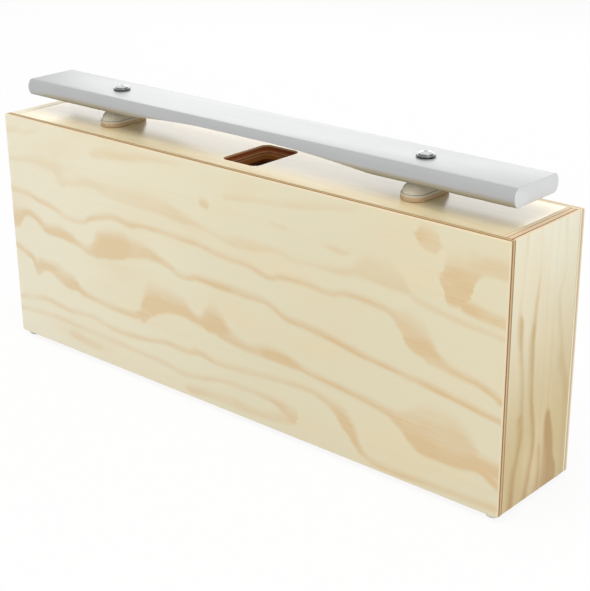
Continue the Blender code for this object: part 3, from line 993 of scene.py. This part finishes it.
@dataclass
class ResonatorBox(Assembly):
    """The six plywood panels of the box.

    Attributes:
        edge_round: Radius of the sanded edges on the outside of the box.
        near: How close an edge is to an outer face of the box to count as lying on it.
        hole_corner: Radius in the corners of the sound hole.
        hole_reach: Half of the sound hole's length and width.
        pilot: Radius of the holes for the screws.
        low: The box's lower left front corner.
        high: The corner across from it.
    """

    edge_round: float = 0.6 * MM
    near: float = 0.12 * MM
    hole_corner: float = 5.5 * MM
    hole_reach: Point = (16 * MM, 23 * MM)
    pilot: float = 2.8 * MM
    low: Vector = field(init=False)
    high: Vector = field(init=False)

    EDGE_STEPS = 3
    CORNER_STEPS = 8
    PILOT_STEPS = 32
    FACE_ON = 0.95

    def __post_init__(self) -> None:
        """Read the box's corners from the frame."""
        left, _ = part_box("left_end_panel")
        _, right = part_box("right_end_panel")
        front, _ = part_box("front_panel")
        _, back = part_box("back_panel")
        self.low = Vector((left.x, front.y, front.z))
        self.high = Vector((right.x, back.y, back.z))

    def _outer_faces(self, edge: Edge) -> int:
        """Count the outer faces of the box that an edge lies on."""
        return sum(
            all(abs(vert.co[axis.value] - corner[axis.value]) < self.near for vert in edge.verts)
            for axis in Axis for corner in (self.low, self.high)
        )

    def panel(self, node: str) -> Mesh:
        """Return a panel of the frame's size, sanded where two outer faces of the box meet."""
        bm = block(*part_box(node))
        outer = [edge for edge in bm.edges if self._outer_faces(edge) > 1]
        if outer:
            ease(bm, outer, self.edge_round, self.EDGE_STEPS)
        return bm

    def top(self) -> Mesh:
        """Return the top panel with its sound hole and the holes for the screws."""
        low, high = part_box("top_panel")
        reach = Vector((*self.hole_reach, high.z - low.z))
        middle = Vector((0, 0, (low.z + high.z) / 2))
        hole = block(middle - reach, middle + reach)
        upright = [edge for edge in hole.edges if self._upright(edge)]
        ease(hole, upright, self.hole_corner, self.CORNER_STEPS)
        cutters = [hole]
        for side in SIDES:
            screw = stance(side + "_screw")[0]
            pilot = drill(self.pilot, 0, 2 * reach.z, self.PILOT_STEPS)
            cutters.append(moved(pilot, (screw.x, screw.y, low.z - reach.z / 2)))
        return subtract(block(low, high), cutters)

    @staticmethod
    def _upright(edge: Edge) -> bool:
        """Say whether an edge runs up and down."""
        one, other = (vert.co for vert in edge.verts)
        return abs(one.z - other.z) > max(abs(one.x - other.x), abs(one.y - other.y))

    def _in_hole(self, face: Face) -> bool:
        """Say whether a face of the top panel is part of the sound hole's wall."""
        centre = face.calc_center_median()
        return abs(centre.x) < self.hole_reach[0] + MM and abs(centre.y) < self.hole_reach[1] + MM

    def _chooser(self, axis: Axis, holed: bool) -> Callable[[Face], int]:
        """Return a chooser between a sheet's faces, 0, its sawn edges, 1, and the wall of its hole, 2."""
        def pick(face: Face) -> int:
            """Return the index of one face's material."""
            if abs(face.normal[axis.value]) > self.FACE_ON:
                return 0
            return 2 if holed and self._in_hole(face) else 1

        return pick

    def _finishes(self) -> dict[str, tuple[Axis, list[Finish]]]:
        """Return the axis across each panel and its finishes: faces, edges and the wall of its hole."""
        low, high = self.low, self.high
        size = (high - low) / MM
        faces, ends, lids = (size.x, size.z), (size.z, size.y), (size.x, size.y)
        from_left, from_right = Ruler(Axis.X, low.x), Ruler(Axis.X, high.x, -1)
        from_front, from_back = Ruler(Axis.Y, low.y), Ruler(Axis.Y, high.y, -1)
        from_base, from_top = Ruler(Axis.Z, low.z), Ruler(Axis.Z, high.z, -1)
        face_ply = (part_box("front_panel")[1].y - low.y) / MM
        frame_ply = (high.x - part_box("right_end_panel")[0].x) / MM
        top_ply = (high.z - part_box("top_panel")[0].z) / MM
        end_grain = (from_top, from_front, ends)
        return {
            "front": (Axis.Y, [
                PineVeneer("pine_front", 1.3, from_left, from_top, faces, FRONT_FIGURE),
                PlyEdge("front_edge", 1.0, from_front, from_left, face_ply, FACE_LAYERS),
            ]),
            "back": (Axis.Y, [
                PineVeneer("pine_back", 5.1, from_left, from_top, faces, swung(FRONT_FIGURE, faces)),
                PlyEdge("back_edge", 2.0, from_back, from_left, face_ply, BACK_LAYERS),
            ]),
            "right_end": (Axis.X, [
                PineVeneer("pine_right_end", 2.7, *end_grain, END_FIGURE, **TAN_END),
                PlyEdge("right_end_edge", 3.0, from_right, from_front, frame_ply, FRAME_LAYERS),
            ]),
            "left_end": (Axis.X, [
                PineVeneer("pine_left_end", 8.4, *end_grain, swung(END_FIGURE, ends), **TAN_END),
                PlyEdge("left_end_edge", 4.0, from_left, from_front, frame_ply, PALE_LAYERS),
            ]),
            "bottom": (Axis.Z, [
                PineVeneer("pine_bottom", 6.6, from_left, from_front, lids),
                PlyEdge("bottom_edge", 6.0, from_base, from_left, frame_ply, FRAME_LAYERS),
            ]),
            "top": (Axis.Z, [
                PineVeneer("pine_top", 3.9, from_left, from_front, lids, **GLOSSY_TOP),
                PlyEdge("top_edge", 5.0, from_top, from_left, top_ply, FRAME_LAYERS),
                PlyEdge("scorched_edge", 7.0, from_top, from_left, top_ply, SCORCHED_LAYERS, SCORCH),
            ]),
        }

    def dress(self) -> list[bpy.types.Object]:
        """Build and dress the six panels."""
        pieces = []
        for word, (axis, finishes) in self._finishes().items():
            node = word + "_panel"
            holed = word == "top"
            bm = self.top() if holed else self.panel(node)
            materials = [finish.material() for finish in finishes]
            pieces.append(Piece("pine_" + node, node, Slot.PLYWOOD, Body.BOX, bm, materials,
                                self._chooser(axis, holed)).place())
        return pieces


@dataclass
class ToneBar(Assembly):
    """The tuned bar.

    Attributes:
        nose: How far the rounded sides stand past the flat faces.
        arch_span: Length of the tuning cut.
        arch_flat: Its level middle.
        arch_depth: Its depth.
        hole: Radius of the holes for the supports.
        end_round: Radius of the rims at the ends.
        brow_round: Radius where the top meets the sides.
        near: How close two measures are to count as the same.
    """

    nose: float = 3.0 * MM
    arch_span: float = 226 * MM
    arch_flat: float = 50 * MM
    arch_depth: float = 6 * MM
    hole: float = 4.6 * MM
    end_round: float = 0.6 * MM
    brow_round: float = 1.5 * MM
    near: float = 0.01 * MM

    NOSE_STEPS = 14
    ARCH_STEPS = 24
    HOLE_STEPS = 48
    BROW_STEPS = 4
    END_STEPS = 3
    END_ON = 0.9
    CREASE = 24.0

    def _section(self, width: float, thickness: float) -> list[Point]:
        """Return the outline across the bar: flat faces and arcs along both sides."""
        half = thickness / 2
        radius, sweep = bow(half, self.nose)
        centre = width / 2 - radius
        right = arc((centre, half), radius, -sweep, sweep, self.NOSE_STEPS)
        left = arc((-centre, half), radius, math.pi - sweep, math.pi + sweep, self.NOSE_STEPS)
        return right + left

    def _arch(self, thickness: float) -> list[Point]:
        """Return the outline of the tuning cut: a level middle and an arc down to each side."""
        run = (self.arch_span - self.arch_flat) / 2
        radius, sweep = bow(run, self.arch_depth)
        centre = (self.arch_flat / 2, self.arch_depth - radius)
        right = arc(centre, radius, QUARTER - sweep, QUARTER, self.ARCH_STEPS)
        left = [(-along, height) for along, height in reversed(right)]
        return [(-self.arch_span / 2, -thickness), (self.arch_span / 2, -thickness)] + right + left

    @staticmethod
    def _prism(places: Sequence[Vector], length: Vector) -> Mesh:
        """Return a prism with a flat outline half-way along its length."""
        bm = bmesh.new()
        face = bm.faces.new([bm.verts.new(place - length / 2) for place in places])
        side = bmesh.ops.extrude_face_region(bm, geom=[face])
        far = [item for item in side["geom"] if isinstance(item, bmesh.types.BMVert)]
        bmesh.ops.translate(bm, vec=length, verts=far)
        bmesh.ops.recalc_face_normals(bm, faces=bm.faces)
        return bm

    def _end_on(self, face: Face) -> bool:
        """Say whether a face closes one end of the bar."""
        return abs(face.normal.x) > self.END_ON

    def build(self) -> Mesh:
        """Return the bar in place."""
        low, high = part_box("tone_bar")
        size = high - low
        outline = [Vector((0, across, up)) for across, up in self._section(size.y, size.z)]
        bar = self._prism(outline, Vector((size.x, 0, 0)))
        brow = size.y / 2 - self.nose
        brows = [edge for edge in bar.edges
                 if abs(edge.verts[0].co.x - edge.verts[1].co.x) > size.x / 2
                 and abs(abs(edge.verts[0].co.y) - brow) < self.near]
        ease(bar, brows, self.brow_round, self.BROW_STEPS)
        rims = [edge for edge in bar.edges
                if all(abs(abs(vert.co.x) - size.x / 2) < self.near for vert in edge.verts)
                and edge.verts[0].co.x * edge.verts[1].co.x > 0 and len(edge.link_faces) == 2
                and any(self._end_on(face) for face in edge.link_faces)]
        ease(bar, rims, self.end_round, self.END_STEPS)
        arch = [Vector((along, 0, up)) for along, up in self._arch(size.z)]
        cutters = [self._prism(arch, Vector((0, 2 * size.y, 0)))]
        for side in SIDES:
            sleeve = stance(side + "_sleeve")[0]
            hole = drill(self.hole, -size.z, 2 * size.z, self.HOLE_STEPS)
            cutters.append(moved(hole, (sleeve.x, sleeve.y, 0)))
        return moved(subtract(bar, cutters), (0, 0, low.z))

    def dress(self) -> list[bpy.types.Object]:
        """Build the bar and give it its satin skin and sawn ends, whose paler colour is partly painted light.
        """
        rise = Ruler(Axis.Z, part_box("tone_bar")[0].z)
        skin = SatinAluminium("satin_aluminium", rise=rise).material()
        # The sawn ends are paler than the skin: partly the bare sawn metal, partly painted light for the
        # brighter light on the ends.
        sawn = SatinAluminium("sawn_lit_aluminium", colour=shade(227, 228, 229), dull=0.5).material()
        return [Piece("satin_tone_bar", "tone_bar", Slot.ALUMINIUM, Body.BAR, self.build(), [skin, sawn],
                      lambda face: int(self._end_on(face)), self.CREASE).place()]


@dataclass
class Support(Assembly):
    """One support of the bar and its fastener: base plate, pad, sleeve, washer and screw.

    Attributes:
        side: "left" or "right".
        steps: Segments round each turned piece.
        felt_fuzz: How far the felt's surface wanders.
        pad_crown: Half the width of the flat crest that the bar rests on.
        pad_bulge: How far the pad's side stands past a straight slope.
        pad_base_round: Radius of the pad's lower rim.
        plate_round: Radius of the base plate's rims.
        plate_swell: How far the base plate's soft facing rises into the glue line under the pad.
        hole: Radius of the hole through pad and plate.
        bore: Radius of the hole through sleeve and washer.
        sleeve_bevel: Width of the bevels on the sleeve's rims.
        washer_round: Radius of the washer's rims.
        head_height: Height of the screw's head.
        head_rim: Height of the straight rim below its dome.
        head_bevel: Width of the bevel under that rim.
        neck: Radius of the screw's plain neck.
        neck_length: Length of that neck.
        taper: Length over which the neck narrows to the core.
        core: Radius of the screw between its threads.
        point: Length of the screw's point.
        pitch: Rise of one turn of the thread.
        bite: How far the thread is sunk into the core.
        recess: Span, slot width and depth of the drive recess.
    """

    side: str
    steps: int = 72
    felt_fuzz: float = 0.18 * MM
    pad_crown: float = 1.5 * MM
    pad_bulge: float = 1.3 * MM
    pad_base_round: float = 0.2 * MM
    plate_round: float = 0.15 * MM
    plate_swell: float = 0.2 * MM
    hole: float = 4.3 * MM
    bore: float = 2.8 * MM
    sleeve_bevel: float = 0.2 * MM
    washer_round: float = 0.25 * MM
    head_height: float = 1.9 * MM
    head_rim: float = 0.7 * MM
    head_bevel: float = 0.15 * MM
    neck: float = 2.45 * MM
    neck_length: float = 3 * MM
    taper: float = 1 * MM
    core: float = 1.85 * MM
    point: float = 6 * MM
    pitch: float = 2.0 * MM
    bite: float = 0.1 * MM
    recess: tuple[float, float, float] = (5.2 * MM, 1.2 * MM, 1.1 * MM)

    RIM_STEPS = 4
    FOOT_STEPS = 5
    BULGE_STEPS = 24
    DOME_STEPS = 10
    TURN_STEPS = 20
    THREAD_RISE = 0.3
    RECESS_TAPER = 0.55
    SIDEWAYS = 0.5
    FUZZ_SCALE = 320
    FUZZ_FALLOFF = 0.6
    FUZZ_LACUNARITY = 2.0
    FUZZ_OCTAVES = 3
    FUZZ_GROWTH = 6

    def _node(self, kind: str) -> str:
        """Return the name of one of this support's nodes."""
        return self.side + "_" + kind

    def _bounds(self, kind: str) -> tuple[Vector, float, float]:
        """Return the middle of a node's underside, its radius and its height."""
        return stance(self._node(kind))

    def _rimmed(self, inner: float, outer: float, height: float, rim: float) -> list[Point]:
        """Return a section from inner to outer with a rounded outer edge above and below."""
        return [
            (inner, 0.0),
            *arc((outer - rim, rim), rim, -QUARTER, 0, self.RIM_STEPS),
            *arc((outer - rim, height - rim), rim, 0, QUARTER, self.RIM_STEPS),
            (inner, height),
        ]

    def _strip(self, kind: str, section: Sequence[Point]) -> Mesh:
        """Return a strip as long as a node, with the given half of its section."""
        low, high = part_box(self._node(kind))
        return oblong(section, (high.y - low.y) - (high.x - low.x), self.steps // 2)

    def _bored(self, bm: Mesh, height: float) -> Mesh:
        """Return a strip with the hole for the sleeve through it."""
        return subtract(bm, [drill(self.hole, -height, 2 * height, self.steps)])

    def plate(self) -> Mesh:
        """Return the oblong cork plate under the pad."""
        base, half, height = self._bounds("base_plate")
        height += self.plate_swell
        strip = self._strip("base_plate", self._rimmed(0.0, half, height, self.plate_round))
        return moved(self._bored(strip, height), base)

    def _slope(self, half: float, height: float) -> list[Point]:
        """Return half the section of a pad: a flat crest and a bulged side that narrows towards it."""
        rim = self.pad_base_round
        foot, crown = Vector((half, rim)), Vector((self.pad_crown, height))
        bend, sweep = bow((crown - foot).length / 2, self.pad_bulge)
        lean = math.atan2(half - self.pad_crown, height - rim)
        centre = (foot + crown) / 2 - (bend - self.pad_bulge) * Vector((math.cos(lean), math.sin(lean)))
        lower = arc((half - rim, rim), rim, -QUARTER, 0, self.FOOT_STEPS)
        side = arc((centre.x, centre.y), bend, lean - sweep, lean + sweep, self.BULGE_STEPS)
        return [(0.0, 0.0), *lower, *side[1:], (0.0, height)]

    def pad(self) -> Mesh:
        """Return the felt pad, flat below and uneven above and round its side."""
        base, half, height = self._bounds("pad")
        bm = self._strip("pad", self._slope(half - self.felt_fuzz, height - self.felt_fuzz))
        bm.normal_update()
        for vert in bm.verts:
            fuzz = noise.fractal((vert.co + base) * self.FUZZ_SCALE, self.FUZZ_FALLOFF,
                                 self.FUZZ_LACUNARITY, self.FUZZ_OCTAVES)
            swell = min(1.0, self.FUZZ_GROWTH * vert.co.z / height) * self.felt_fuzz
            vert.co += vert.normal * max(-1.0, min(1.0, fuzz)) * swell
        return moved(self._bored(bm, height), base)

    def sleeve(self) -> Mesh:
        """Return the spacer tube round the screw."""
        base, radius, height = self._bounds("sleeve")
        bore, rim = self.bore, self.sleeve_bevel
        section = [(bore, rim), (bore + rim, 0), (radius - rim, 0), (radius, rim),
                   (radius, height - rim), (radius - rim, height), (bore + rim, height), (bore, height - rim)]
        return moved(turned(section, True, self.steps), base)

    def washer(self) -> Mesh:
        """Return the washer."""
        base, radius, height = self._bounds("washer")
        section = self._rimmed(self.bore, radius, height, self.washer_round)
        return moved(turned(section, True, self.steps), base)

    def screw(self) -> Mesh:
        """Return the pan-head screw with its cross recess and thread."""
        base, rim, height = self._bounds("screw")
        seat = height - self.head_height
        radius, sweep = bow(rim, self.head_height - self.head_rim)
        crown = arc((0, height - radius), radius, QUARTER, QUARTER - sweep, self.DOME_STEPS)
        crown[0] = (0, height)
        neck_end = seat - self.neck_length
        core_top = neck_end - self.taper
        shank = [(rim, seat + self.head_bevel), (rim - self.head_bevel, seat), (self.neck, seat),
                 (self.neck, neck_end), (self.core, core_top), (self.core, self.point), (0, 0)]
        bm = subtract(turned(crown + shank, False, self.steps), [self._recess(height)])
        self._thread(bm, (core_top - self.point) / self.pitch)
        return moved(bm, base)

    def _recess(self, height: float) -> Mesh:
        """Return the tapered cross that is cut into the screw's head."""
        span, slot, depth = self.recess
        cube = Vector((slot, slot, 2 * depth)) / 2
        bm = block(-cube, cube)
        for face in [face for face in bm.faces if abs(face.normal.z) < self.SIDEWAYS]:
            outward = face.normal.copy()
            arm = bmesh.ops.extrude_discrete_faces(bm, faces=[face])["faces"][0]
            bmesh.ops.translate(bm, vec=outward * (span - slot) / 2, verts=arm.verts)
        floor = [vert for vert in bm.verts if vert.co.z < 0]
        bmesh.ops.scale(bm, vec=(self.RECESS_TAPER, self.RECESS_TAPER, 1), verts=floor)
        bmesh.ops.recalc_face_normals(bm, faces=bm.faces)
        return moved(bm, (0, 0, height))

    def _thread(self, bm: Mesh, turns: float) -> None:
        """Wind a thread round the screw's core, from the point upwards."""
        rise = self.THREAD_RISE * self.pitch
        inner = self.core - self.bite
        low, tip, high = (
            bm.verts.new((radius, 0, self.point + step * rise))
            for step, radius in enumerate((inner, self.neck, inner))
        )
        edges = [bm.edges.new(pair) for pair in ((low, tip), (tip, high), (high, low))]
        spun = bmesh.ops.spin(
            bm, geom=[low, tip, high, *edges], cent=(0, 0, 0), axis=(0, 0, 1),
            dvec=(0, 0, self.pitch / self.TURN_STEPS), angle=2 * math.pi * turns,
            steps=round(self.TURN_STEPS * turns),
        )
        last = [item for item in spun["geom_last"] if isinstance(item, Edge)]
        bmesh.ops.contextual_create(bm, geom=edges)
        bmesh.ops.contextual_create(bm, geom=last)
        bmesh.ops.recalc_face_normals(bm, faces=bm.faces)

    def dress(self) -> list[bpy.types.Object]:
        """Build and dress the five pieces."""
        below = Ruler(Axis.Z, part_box(self._node("base_plate"))[1].z, -1)
        # Painted shade: the washer's zinc is much darker than the screw's, for the dark rim round the washer.
        shaded_zinc = BrightZinc("zinc_washer", colour=shade(142, 143, 144))
        plan = (
            ("cork", "base_plate", Slot.CORK, self.plate(), Cork("cork", depth=below)),
            ("felt", "pad", Slot.FELT, self.pad(), WoolFelt("wool_felt")),
            ("nylon", "sleeve", Slot.NYLON, self.sleeve(), MilkyPlastic("natural_nylon")),
            ("zinc", "washer", Slot.ZINC, self.washer(), shaded_zinc),
            ("zinc", "screw", Slot.ZINC, self.screw(), BrightZinc("zinc_screw")),
        )
        pieces = []
        for stuff, kind, slot, bm, finish in plan:
            node = self._node(kind)
            piece = Piece(stuff + "_" + node, node, slot, Body.BOX, bm, [finish.material()]).place()
            pieces.append(piece)
        return pieces


@dataclass
class Feet(Assembly):
    """The four rubber bumpers under the box.

    Attributes:
        corners: The corners that they stand at.
        base_round: Radius of the rim that touches the table.
        bevel: Width of the bevel on the upper rim.
        steps: Segments round each bumper.
    """

    corners: tuple[str, ...] = ("front_left", "front_right", "back_left", "back_right")
    base_round: float = 1.8 * MM
    bevel: float = 0.25 * MM
    steps: int = 48

    ROUND_STEPS = 8

    def foot(self, node: str) -> Mesh:
        """Return one bumper in place."""
        base, radius, height = stance(node)
        centre = (radius - self.base_round, self.base_round)
        rounded = arc(centre, self.base_round, 0, -QUARTER, self.ROUND_STEPS)
        upper = [(0, height), (radius - self.bevel, height), (radius, height - self.bevel)]
        return moved(turned([*upper, *rounded, (0, 0)], False, self.steps), base)

    def dress(self) -> list[bpy.types.Object]:
        """Build and dress the bumpers."""
        material = MilkyPlastic("milky_rubber", colour=shade(232, 232, 226), gloss=0.3, clear=0.25).material()
        return [
            Piece("rubber_" + corner + "_foot", corner + "_foot", Slot.RUBBER, Body.BOX,
                  self.foot(corner + "_foot"), [material]).place()
            for corner in self.corners
        ]


@dataclass(frozen=True)
class Softbox:
    """A soft rectangular lamp.

    Attributes:
        name: The lamp's name.
        place: Where it hangs.
        size: Its width and height.
        power: Its power in watts.
        mirrored: Whether shiny surfaces show it.
    """

    name: str
    place: tuple[float, float, float]
    size: Point
    power: float
    mirrored: bool = True

    def hang(self, aim: Vector) -> None:
        """Add the lamp to the scene and point it at a place."""
        light = bpy.data.lights.new(self.name, "AREA")
        light.shape = "RECTANGLE"
        light.size, light.size_y = self.size
        light.energy = self.power
        lamp = add(self.name, light)
        lamp.location = self.place
        lamp.rotation_euler = (aim - Vector(self.place)).to_track_quat("-Z", "Y").to_euler()
        lamp.visible_glossy = self.mirrored


@dataclass
class Studio:
    """The floor, the light and the camera.

    Attributes:
        floor_size: Side of the square floor.
        ambient: Strength of the light from all round.
        lamps: The softboxes.
        aim: Where they point.
        eye: Where the camera stands.
        gaze: Which way it looks.
        roll: How far it leans, in degrees.
        lens_mm: Its focal length on a sensor of sensor_mm.
    """

    floor_size: float = 8.0
    ambient: float = 0.58
    lamps: tuple[Softbox, ...] = (
        Softbox("key", (0.1, -0.8, 2.4), (2.0, 2.0), 34.0, mirrored=False),
        Softbox("right", (1.5, -0.6, 0.4), (1.0, 0.6), 4.0),
        Softbox("back", (-0.49, 1.38, 0.63), (2.2, 0.55), 4.8),
    )
    aim: Vector = field(default_factory=lambda: Vector((0, 0, 0.15)))
    eye: Vector = field(default_factory=lambda: Vector((0.62028, -0.66780, 0.44072)))
    gaze: Vector = field(default_factory=lambda: Vector((-0.61555, 0.69575, -0.37016)))
    roll: float = -0.5
    lens_mm: float = 85.39
    sensor_mm: float = 36.0

    def floor(self) -> None:
        """Add the floor."""
        bm = bmesh.new()
        bmesh.ops.create_grid(bm, x_segments=2, y_segments=2, size=self.floor_size / 2)
        mesh = baked("floor", bm)
        mesh.materials.append(PaleFloor("pale_floor").material())
        floor = add("floor", mesh)

    def world(self) -> None:
        """Light the scene softly from all round, against a white background."""
        world = bpy.data.worlds.new("studio")
        world.use_nodes = True
        bpy.context.scene.world = world
        graph = Graph(world.node_tree)
        soft, white = (
            graph.wire("Background", {"Color": WHITE, "Strength": strength})
            for strength in (self.ambient, 1.0)
        )
        graph.node("OutputWorld", {"Surface": graph.blend(graph.seen(), soft, white)})

    def camera(self) -> None:
        """Add the camera."""
        data = bpy.data.cameras.new("camera")
        data.lens = self.lens_mm
        data.sensor_width = self.sensor_mm
        camera = add("camera", data)
        turn = self.gaze.to_track_quat("-Z", "Y").to_matrix().to_4x4()
        lean = Matrix.Rotation(math.radians(self.roll), 4, "Z")
        camera.matrix_world = Matrix.Translation(self.eye) @ turn @ lean
        bpy.context.scene.camera = camera

    def set_up(self) -> None:
        """Add everything that isn't part of the object."""
        bpy.context.scene.view_settings.view_transform = "Standard"
        self.floor()
        self.world()
        for lamp in self.lamps:
            lamp.hang(self.aim)
        self.camera()


def main() -> None:
    """Load the frame, dress every sub-assembly and set up the studio."""
    logging.basicConfig(level=logging.INFO, format="%(name)s: %(message)s")
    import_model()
    assemblies = (ResonatorBox(), ToneBar(), *(Support(side) for side in SIDES), Feet())
    for assembly in assemblies:
        pieces = assembly.dress()
        LOG.info("%s: %d pieces", type(assembly).__name__, len(pieces))
    Studio().set_up()


if __name__ == "__main__":
    main()
